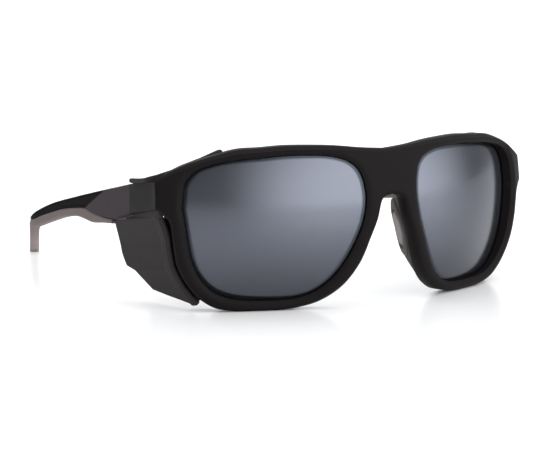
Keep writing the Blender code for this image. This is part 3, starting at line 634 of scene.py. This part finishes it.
def rim_outlines(steps):
    """The lens opening and the outer edge as matched smooth loops, with their normals."""
    opening = smooth_loop(RIBS[:, :2], (), steps)
    edge = smooth_loop(RIBS[:, 2:], EDGE_CORNERS, steps)
    normal = outward(edge)
    first, _, last = (steps * rib for rib in BRIDGE_RIBS)
    normal[first:last + 1] = 0.0
    normal[first] = (0.0, 1.0)
    normal[last] = (0.0, -1.0)
    return opening, outward(opening), edge, normal


def end_piece_bottom(along):
    return END_PIECE_BOTTOM[0] + END_PIECE_BOTTOM[1] * along


def end_piece_top(along):
    return END_PIECE_TOP[0] + END_PIECE_TOP[1] * along


def end_piece_side(along, inboard, towards, radius, count):
    """One upright side of the end piece's section, its top and bottom corners rounded."""
    low, high = end_piece_bottom(along), end_piece_top(along)
    turn = np.linspace(0.0, math.pi / 2, 4)
    middle = np.linspace(low + radius, high - radius, count - 6)[1:-1]
    rise = radius - radius * np.cos(turn)
    inset = radius - radius * np.sin(turn)
    up = np.concatenate([low + rise, middle, high - rise[::-1]])
    over = np.concatenate([inset, np.zeros(len(middle)), inset[::-1]])
    return side(along, inboard + towards * over, up)


def half_front(sizes):
    """The left half of the front: a section swept round the lens, and the end piece behind it.

    The section runs down the inner bevel, round the lens groove, over the back and up the
    outer wall to its chamfer.
    """
    steps = sizes.steps
    opening, opening_out, edge, edge_out = rim_outlines(steps)
    bevel = sizes.inner_bevel / MM
    share = np.ones(len(RIBS))
    share[list(END_PIECE_RIBS)] = END_PIECE_CHAMFER
    share = np.interp(np.arange(len(edge)) / steps, np.arange(len(RIBS) + 1), [*share, share[0]])
    chamfer = sizes.outer_chamfer / MM * share
    rows = []

    def inner(offset, depth):
        u, v = (opening + offset * opening_out).T
        rows.append(front(u, v, depth))

    def outer(offset, depth):
        u, v = (edge - np.reshape(offset, (-1, 1)) * edge_out).T
        rows.append(front(u, v, depth))

    seat = lens_depth(opening[:, 0])
    drop = np.minimum(SLOPE_DROP[0] * seat, SLOPE_DROP[1])
    for over, down in INNER_SLOPE:
        inner(over * bevel, down * drop)
    inner(0.0, seat)
    inner(GROOVE_DEPTH, seat)
    inner(GROOVE_DEPTH, seat + GROOVE_WIDTH)
    inner(0.0, seat + GROOVE_WIDTH)
    back = rim_depth(opening[:, 0])
    for over, down in INNER_BACK:
        inner(over, back - down)
    back = rim_depth(edge[:, 0])
    for over, down in OUTER_BACK:
        outer(over, back - down)
    wall = len(rows) - 1
    for over, down in OUTER_SLOPE:
        outer(over * chamfer, down * chamfer)
    last_front, first_front = rows[-1], rows[0]
    for part in (0.2, 0.5, 0.8):
        swell = sizes.crown / MM * math.sin(math.pi * part)
        rows.append(last_front + (first_front - last_front) * part - np.array([0.0, swell, 0.0]))
    sections = np.stack(rows, axis=1)
    count, columns = sections.shape[:2]
    bridge = range(BRIDGE_RIBS[0] * steps, BRIDGE_RIBS[-1] * steps)
    root = range(END_PIECE_RIBS[0] * steps, END_PIECE_RIBS[1] * steps + 1)
    outer_columns = range(wall - 2, wall + 4)
    skip = {(row, column) for row in bridge for column in outer_columns}
    skip |= {(row, wall) for row in root[:-1]}
    points = sections.reshape(-1, 3)
    faces = grid_faces(count, columns, closed_rows=True, skip=skip)

    loop = [row * columns + wall + 1 for row in root] + [row * columns + wall for row in root[::-1]]
    for outer_along, inner_along, radius in END_PIECE_STEPS:
        outside = end_piece_side(outer_along, 0.0, 1.0, radius, len(root))
        inside = end_piece_side(inner_along, END_PIECE_THICKNESS, -1.0, radius, len(root))
        new_loop = list(range(len(points), len(points) + 2 * len(root)))
        points = np.concatenate([points, outside, inside[::-1]])
        faces += [(loop[i], loop[i - 1], new_loop[i - 1], new_loop[i]) for i in range(len(loop))]
        loop = new_loop
    faces.append(tuple(loop))
    return points, faces


def make_front():
    points, faces = half_front(bpy.context.scene.glasses_front)
    count = len(points)
    both = np.concatenate([points, points * np.array([-1, 1, 1])])
    faces = faces + [tuple(i + count for i in face[::-1]) for face in faces]
    piece = place("front_moulding", both, faces, "front", finishes()["frame_nylon"])
    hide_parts("front_frame")


def make_lens(word, hand):
    """A curved sheet of even thickness, from rings shrinking towards its middle."""
    opening, opening_out, _, _ = rim_outlines(6)
    seated = opening + LENS_BITE * opening_out
    sizes = np.concatenate([LENS_EDGE_RINGS, np.linspace(0.92, 0.0, LENS_RINGS)[:-1]])
    rings = LENS_CENTRE + (seated - LENS_CENTRE)[None] * sizes[:, None, None]
    depth = lens_depth(rings[..., 0])
    outer = front(rings[..., 0], rings[..., 1], depth + LENS_GAP)
    inner = front(rings[..., 0], rings[..., 1], depth + GROOVE_WIDTH - LENS_GAP)
    loops = np.concatenate([outer[::-1], inner])
    # The inset from the seated edge places the painted shade along the lens's edge.
    inset = np.linalg.norm(seated - LENS_CENTRE, axis=1) * (1 - sizes[:, None])
    marks = {"inset": np.concatenate([inset[::-1], inset]).ravel()}
    piece = skin(f"lens_sheet_{word}", loops, "front", finishes()["smoke_lens"], hand, marks=marks)
    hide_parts(f"lens_{word}")


def panel_mark(back, up):
    """How far a point of the temple's side lies behind the slanting end of its panel."""
    (top_back, top_up), (low_back, low_up) = PANEL_END
    slant = np.array([low_back - top_back, low_up - top_up])
    ahead = np.array([-slant[1], slant[0]]) / np.linalg.norm(slant)
    return (back - top_back) * ahead[0] + (up - top_up) * ahead[1]


def temple_strip(ribs, corners, steps, thinner, radius, across, end, relief=None):
    """A strip between the upper and lower edges that the ribs give, thinning to the back."""
    back, top, low_back, low = smooth_line(ribs, steps, corners).T
    wall = np.interp((back + low_back) / 2, *GRIP_THICKNESS.T) - thinner
    first, last = side(low_back, 0.0, low), side(back, 0.0, top)
    inward = side(back, 1.0, top) - last

    def lifted(over, wide):
        row = row_of(len(low_back), len(over))
        near_back, near_up, far_back, far_up = [line[row][:, None]
                                                for line in (low_back, low, back, top)]
        part = over / wide
        return relief(near_back + (far_back - near_back) * part,
                      near_up + (far_up - near_up) * part)

    return strip(first, last, inward, wall, radius, across,
                 relief=lifted if relief else None, end=end)


def row_of(count, repeated):
    """Which of the original rows each row stands for, once the end rows are repeated."""
    extra = (repeated - count) // 2
    return np.clip(np.arange(repeated) - extra, 0, count - 1)


def make_temple(word, hand):
    """The blade: its panel stands out from the rest, and ends on a slant with a soft step."""
    sizes = bpy.context.scene.glasses_temples
    step = sizes.panel_step / MM

    def relief(back, up):
        behind = panel_mark(back, up)
        return -step * np.clip(behind / PANEL_FADE + 0.5, 0.0, 1.0) ** 0.8

    loops = temple_strip(BLADE_RIBS, (1,), 22, GRIP_STEP, sizes.edge_radius / MM, 30,
                         TEMPLE_END_RADIUS, relief)
    piece = skin(f"temple_blade_{word}", loops, f"temple_{word}", finishes()["temple_nylon"], hand)
    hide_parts(f"temple_{word}")


def make_grip(word, hand):
    """The grip: a rounded strip under the blade that curves in and down to the tip."""
    sizes = bpy.context.scene.glasses_temples
    tucked = GRIP_RIBS + np.array([0.0, GRIP_TUCK, 0.0, 0.0])
    loops = temple_strip(tucked, (), 12, 0.0, sizes.grip_radius / MM, 12, GRIP_END_RADIUS)
    piece = skin(f"grip_{word}", loops, f"temple_{word}", finishes()["grip_rubber"], hand)
    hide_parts(f"temple_grip_{word}")


def outer_edge_across(up):
    """How far across the rim's temple-side edge lies at a height."""
    temple_side = np.concatenate([RIBS[FOOT_RIBS[1]:, 2:], RIBS[:END_PIECE_RIBS[0] + 1, 2:]])
    return np.interp(up, temple_side[:, 1], temple_side[:, 0])


def wing_edges():
    """The wing's front and rear edges, and its inward directions, at each rule."""
    up, reach = WING_RULES.T
    path = np.stack([outer_edge_across(up), up], axis=1)
    run = np.gradient(path, axis=0)
    aside = unit(np.stack([-run[:, 1], run[:, 0]], axis=1))
    path = path + WING_OFFSET * aside
    start = front(path[:, 0], path[:, 1], WING_START_DEPTH)
    rule = np.array([-math.sin(WING_ANGLE), math.cos(WING_ANGLE), WING_SLOPE])
    end = start + reach[:, None] * rule
    inward = unit(np.cross(np.gradient(start, axis=0), rule))
    inward *= -np.sign(inward[:, :1])
    start[0, 2] += WING_TOP_RAISE[0]
    end[0, 2] += WING_TOP_RAISE[1]
    return start, end, inward


def make_shield(word, hand):
    """One rubber moulding: wing and shelf, flap over the brow, and the web that joins them."""
    sizes = bpy.context.scene.glasses_shields
    rubber = finishes()["shield_rubber"]
    radius = sizes.edge_radius / MM
    lip, height = sizes.lip_width / MM, sizes.lip_height / MM
    start, end, inward = wing_edges()

    def lifted(over, _wide):
        return height * np.clip((lip - over) / LIP_FADE, 0.0, 1.0)

    def part(name, first, last, inward, relief=None):
        loops = strip(first, last, inward, SHIELD_WALL, radius, 60 if relief else 10,
                      relief=relief, end=radius)
        return skin(name, loops, "front" if relief else None, rubber, hand)

    rules = smooth_line(np.concatenate([start, end, inward], axis=1), 7, corners=(3, 4, 6))
    wing = part(f"shield_{word}", rules[:, :3], rules[:, 3:6], unit(rules[:, 6:]), lifted)

    run = unit(end[0] - start[0])
    tuck = np.array([-SHIELD_WALL / 2, 0.0, 0.0])
    first = tuck + np.stack([start[0] + SHELF_START * run, (start[0] + end[0]) / 2,
                             end[0] - SHIELD_WALL * run])
    shelf = part("shelf", first, first + tuck * (SHELF_WIDTH / SHIELD_WALL),
                 np.array([[0, 0, -1.0]] * 3))

    ends = np.stack([start[0], end[0]])
    along_ends = ((CORNER_ACROSS - ends[:, 0]) * math.sin(SIDE_ANGLE)
                  + (ends[:, 1] + DEPTH_TO_MIDDLE - CORNER_BACK) * math.cos(SIDE_ANGLE))
    along, top = smooth_line(FENCE, 4, corners=(1, 2)).T
    low = np.interp(along, along_ends, ends[:, 2] - MID_HEIGHT) - SHIELD_WALL / 2
    near, far = FENCE_SPAN
    inboards = np.broadcast_to(INBOARD, (len(along), 3))
    fence = skin("fence", strip(side(along, near, low), side(along, near, top), inboards,
                                far - near, FENCE_RADIUS, end=FENCE_RADIUS), None, rubber, hand)

    across, low, high = smooth_line(BROW_FLAP, 4).T
    depth = rim_depth(across) + WEB_GAP
    along, inboard, side_low, side_high = smooth_line(SIDE_FLAP, 4).T
    inboard = inboard - SHIELD_WALL / 2
    first = np.concatenate([front(across, low, depth), side(along, inboard, side_low)])
    last = np.concatenate([front(across, high, depth), side(along, inboard, side_high)])
    inward = np.concatenate([front(across, low, depth + 1.0) - front(across, low, depth),
                             np.broadcast_to(INBOARD, (len(along), 3))])
    flap = part("flap", first, last, unit(inward))

    inner, outer, up = smooth_line(WEB, 4).T
    first = front(inner, up, rim_depth(inner) + WEB_GAP)
    last = front(outer, up, rim_depth(outer) + WEB_GAP)
    web = part("web", first, last, unit(front(inner, up, 10.0) - front(inner, up, 9.0)))
    join(wing, shelf, fence, flap, web)
    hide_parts(f"side_shield_{word}")


def edge_across(up):
    """How far across the rim's nasal edge lies at a height."""
    nose = RIBS[BRIDGE_RIBS[-1]:FOOT_RIBS[0], 2:]
    return np.interp(-np.asarray(up, float), -nose[:, 1], nose[:, 0])


def make_nose(word, hand):
    """The arm is a fin behind the rim, with its reach given by height; the pad is an oval cushion
    on its nose side: an ellipse high, an ellipse wide, crowned, with a groove round its insert."""
    nylon, rubber = finishes()["arm_nylon"], finishes()["pad_rubber"]
    up, swell = smooth_line(ARM_REACH, 6).T
    root = edge_across(up) + ARM_OFFSET
    back = rim_depth(root)
    reach = (ARM_END_DEPTH - back) * swell
    first = front(root, up, back - ARM_ROOT)
    last = front(root + PAD_FLARE * reach, up, back + reach)
    inward = front(root + 1.0, up, back) - front(root, up, back)
    loops = strip(first, last, unit(inward), ARM_THICKNESS, ARM_RADIUS, across=12)
    arm = skin(f"nose_arm_{word}", loops, "front", nylon, hand)
    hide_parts("front_frame")

    across = float(edge_across(PAD_MIDDLE)) + PAD_OFFSET
    depth = float(rim_depth(across))
    rear = unit(front(across + PAD_FLARE, PAD_MIDDLE, depth + 1.0)
                - front(across, PAD_MIDDLE, depth))
    out = np.cross(rear, [0.0, 0.0, 1.0])
    out = unit(out * -np.sign(out[0]))
    middle = front(across + PAD_FLARE * (PAD_DEPTH - depth), PAD_MIDDLE, PAD_DEPTH)
    middle = middle + out * (PAD_HALF_THICKNESS + PAD_CLEARANCE)
    climb = np.sin(np.linspace(-math.pi / 2, math.pi / 2, 122)[1:-1])
    turn = np.linspace(0.0, 2 * math.pi, 120, endpoint=False)
    oval = np.sqrt(1 - climb ** 2)
    heights = PAD_MIDDLE + climb * PAD_HALF_HEIGHT
    shift = (front(edge_across(heights), heights, PAD_DEPTH)
             - front(edge_across(PAD_MIDDLE), PAD_MIDDLE, PAD_DEPTH))
    crown = np.where(np.sin(turn) > 0, 0.4 + 0.6 * oval[:, None], 1.0) * PAD_HALF_THICKNESS
    cosine, sine = np.cos(turn), np.sin(turn)
    over = np.sign(cosine) * np.abs(cosine) ** 0.75 * PAD_HALF_WIDTH * oval[:, None]
    thick = np.sign(sine) * np.abs(sine) ** 0.6 * crown * np.minimum(1.0, 0.25 + oval[:, None])
    out_of_middle = np.hypot(over / PAD_HALF_WIDTH, INSERT_SQUAT * climb[:, None])
    groove = np.clip(1 - np.abs(out_of_middle - INSERT_SHARE) / GROOVE_SHARE, 0.0, 1.0)
    thick = thick - INSERT_GROOVE * groove * (thick > 0)
    loops = middle + shift[:, None] + over[..., None] * rear + thick[..., None] * out
    border = np.clip((out_of_middle - INSERT_SHARE + GROOVE_SHARE) / GROOVE_SHARE, 0.0, 1.0)
    pad = skin(f"pad_{word}", loops, "front", rubber, hand, marks={"border": border.ravel()})
    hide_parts(f"nose_pad_{word}")


def cut_slot(piece, spot, axis, across):
    """Cut a driver's slot: a thin block sunk into a screw's head."""
    axis, across = unit(np.asarray(axis, float)), unit(np.asarray(across, float))
    third = np.cross(axis, across)
    square = np.array([(-1, -1), (1, -1), (1, 1), (-1, 1)], float)
    loops = [spot + axis * level + square[:, :1] * across * SLOT_HALF_LENGTH
             + square[:, 1:] * third * SLOT_HALF_WIDTH for level in SLOT_LEVELS]
    block = skin("slot", np.array(loops), None, finishes()["hinge_steel"])
    modifier = piece.modifiers.new("Slot", "BOOLEAN")
    modifier.operation = "DIFFERENCE"
    modifier.object = block
    bake(piece)
    bpy.data.objects.remove(block)


def make_screws(word, hand):
    """The leaf screws: low domed heads with a driver's slot."""
    mirror = np.array([hand, 1, 1])
    seat = LEAF_FACE + LEAF_THICKNESS + PAD_CLEARANCE
    dome = np.linspace(0.0, math.pi / 2, 8)[1:-1]
    tip = HEAD_RIM + HEAD_DOME
    for part, spots in SCREW_SPOTS.items():
        for number, along in enumerate(spots, 1):
            profile = [(SCREW_RADIUS, seat - SCREW_SHORTER), (SCREW_RADIUS, 0.0),
                       (HEAD_RADIUS, 0.0), (HEAD_RADIUS, -HEAD_RIM)]
            profile += [(HEAD_RADIUS * math.cos(a), -HEAD_RIM - HEAD_DOME * math.sin(a))
                        for a in dome]
            profile += [(HEAD_TIP, -tip)]
            spot = side(along, seat, HINGE_SPOT[2]) * mirror
            loops = turned(profile, spot, -INBOARD * mirror)
            body = "front" if part == "front" else f"temple_{word}"
            screw = skin(f"{part}_screw_{word}_{number}", loops, body, finishes()["hinge_steel"])
            cut_slot(screw, spot + tip * INBOARD * mirror, INBOARD * mirror, SLOT_DIRECTION)
            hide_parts(f"{part}_leaf_screw_{word}_{number}")


def dress_hardware():
    """The hinge leaves and pins keep the frame's shapes and get their finish."""
    for name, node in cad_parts.items():
        if "hinge" in name:
            node.data.materials.clear()
            node.data.materials.append(finishes()["hinge_steel"])


# ---------------------------------------------------------------- stage

def window(tree, spread, place, strength):
    """A soft round window of light on the sky, fading out between its two angles in degrees."""
    direction, full_within, none_past = place
    facing = add(tree, "ShaderNodeVectorMath", {"operation": "DOT_PRODUCT"}, n0=spread,
                 n1=direction).outputs["Value"]
    return add(tree, "ShaderNodeMapRange", {"interpolation_type": "SMOOTHSTEP"}, Value=facing,
               n1=math.cos(math.radians(none_past)), n2=math.cos(math.radians(full_within)),
               n4=strength).outputs["Result"]


def make_sky(settings):
    """Studio light from all round: dim, with a window in front, one overhead and one behind."""
    world = bpy.data.worlds.new("studio")
    world.use_nodes = True
    tree = world.node_tree
    spread = add(tree, "ShaderNodeTexCoord").outputs["Generated"]
    level = settings.fill
    for place, strength in ((FRONT_WINDOW, settings.front_light), (TOP_WINDOW, settings.top_light),
                            (BACK_WINDOW, settings.back_light)):
        glow = window(tree, spread, place, strength)
        level = add(tree, "ShaderNodeMath", {"operation": "ADD"}, n0=glow, n1=level).outputs[0]
    background = tree.nodes["Background"]
    background.inputs["Color"].default_value = (0.985, 0.99, 1.0, 1.0)
    tree.links.new(level, background.inputs["Strength"])
    bpy.context.scene.world = world


def make_stage():
    settings = bpy.context.scene.glasses_stage
    half = settings.floor_size / 2
    corners = [(-half, -half, 0), (half, -half, 0), (half, half, 0), (-half, half, 0)]
    floor = bpy.data.meshes.new("floor")
    floor.from_pydata(corners, [], [(0, 1, 2, 3)])
    ground = bpy.data.objects.new("floor", floor)
    bpy.context.scene.collection.objects.link(ground)
    # A polished white acrylic sheet: pale, with a soft mirror image near what stands on it.
    material, _, shader = principled("white acrylic floor")
    shader.inputs["Base Color"].default_value = (0.95, 0.95, 0.95, 1.0)
    shader.inputs["Roughness"].default_value = 0.22
    floor.materials.append(material)
    make_sky(settings)

    camera = bpy.data.cameras.new("camera")
    camera.lens = settings.focal
    camera.sensor_width = SENSOR
    camera.clip_start = NEAREST
    stand = bpy.data.objects.new("camera", camera)
    bpy.context.scene.collection.objects.link(stand)
    ahead = Vector((-math.sin(settings.azimuth) * math.cos(settings.elevation),
                    math.cos(settings.azimuth) * math.cos(settings.elevation),
                    -math.sin(settings.elevation)))
    stand.location = AIM - ahead * settings.camera_distance
    stand.rotation_euler = ahead.to_track_quat("-Z", "Y").to_euler()
    bpy.context.scene.camera = stand
    bpy.context.scene.view_settings.view_transform = "Standard"


# ---------------------------------------------------------------- operators

def pair(make):
    for word, hand in HANDS.items():
        make(word, hand)


class GLASSES_OT_front(bpy.types.Operator):
    """Make the front: rims, bridge and end pieces"""
    bl_idname = "glasses.front"
    bl_label = "Front"

    def execute(self, context):
        make_front()
        return {"FINISHED"}


class GLASSES_OT_lenses(bpy.types.Operator):
    """Make both lenses"""
    bl_idname = "glasses.lenses"
    bl_label = "Lenses"

    def execute(self, context):
        pair(make_lens)
        return {"FINISHED"}


class GLASSES_OT_temples(bpy.types.Operator):
    """Make both temples and their grips"""
    bl_idname = "glasses.temples"
    bl_label = "Temples and grips"

    def execute(self, context):
        pair(make_temple)
        pair(make_grip)
        return {"FINISHED"}


class GLASSES_OT_shields(bpy.types.Operator):
    """Make both side shields"""
    bl_idname = "glasses.shields"
    bl_label = "Side shields"

    def execute(self, context):
        pair(make_shield)
        return {"FINISHED"}


class GLASSES_OT_nose(bpy.types.Operator):
    """Make the nose arms and pads"""
    bl_idname = "glasses.nose"
    bl_label = "Nose arms and pads"

    def execute(self, context):
        pair(make_nose)
        return {"FINISHED"}


class GLASSES_OT_hardware(bpy.types.Operator):
    """Make the leaf screws, and finish the hinge leaves and pins"""
    bl_idname = "glasses.hardware"
    bl_label = "Hardware"

    def execute(self, context):
        pair(make_screws)
        dress_hardware()
        return {"FINISHED"}


class GLASSES_OT_stage(bpy.types.Operator):
    """Set the floor, the lights and the camera"""
    bl_idname = "glasses.stage"
    bl_label = "Stage"

    def execute(self, context):
        make_stage()
        return {"FINISHED"}


OPERATORS = (GLASSES_OT_front, GLASSES_OT_lenses, GLASSES_OT_temples, GLASSES_OT_shields,
             GLASSES_OT_nose, GLASSES_OT_hardware, GLASSES_OT_stage)
GROUPS = {"glasses_front": FrontSizes, "glasses_temples": TempleSizes,
          "glasses_shields": ShieldSizes, "glasses_colours": FinishColours,
          "glasses_stage": StageSettings}


class GLASSES_PT_panel(bpy.types.Panel):
    """Lists the makers and their settings"""
    bl_idname = "GLASSES_PT_panel"
    bl_label = "Glacier Glasses"
    bl_space_type = "VIEW_3D"
    bl_region_type = "UI"
    bl_category = "Glacier Glasses"

    def draw(self, context):
        for operator in OPERATORS:
            self.layout.operator(operator.bl_idname)
        for name, group in GROUPS.items():
            box = self.layout.box()
            for setting in group.__annotations__:
                box.prop(getattr(context.scene, name), setting)


def register():
    for cls in (*GROUPS.values(), *OPERATORS, GLASSES_PT_panel):
        bpy.utils.register_class(cls)
    for name, group in GROUPS.items():
        setattr(bpy.types.Scene, name, bpy.props.PointerProperty(type=group))


def unregister():
    for name in GROUPS:
        delattr(bpy.types.Scene, name)
    for cls in (GLASSES_PT_panel, *OPERATORS[::-1], *list(GROUPS.values())[::-1]):
        bpy.utils.unregister_class(cls)


def main():
    register()
    bpy.ops.glasses.front()
    bpy.ops.glasses.lenses()
    bpy.ops.glasses.temples()
    bpy.ops.glasses.shields()
    bpy.ops.glasses.nose()
    bpy.ops.glasses.hardware()
    bpy.ops.glasses.stage()


if __name__ == "__main__":
    main()
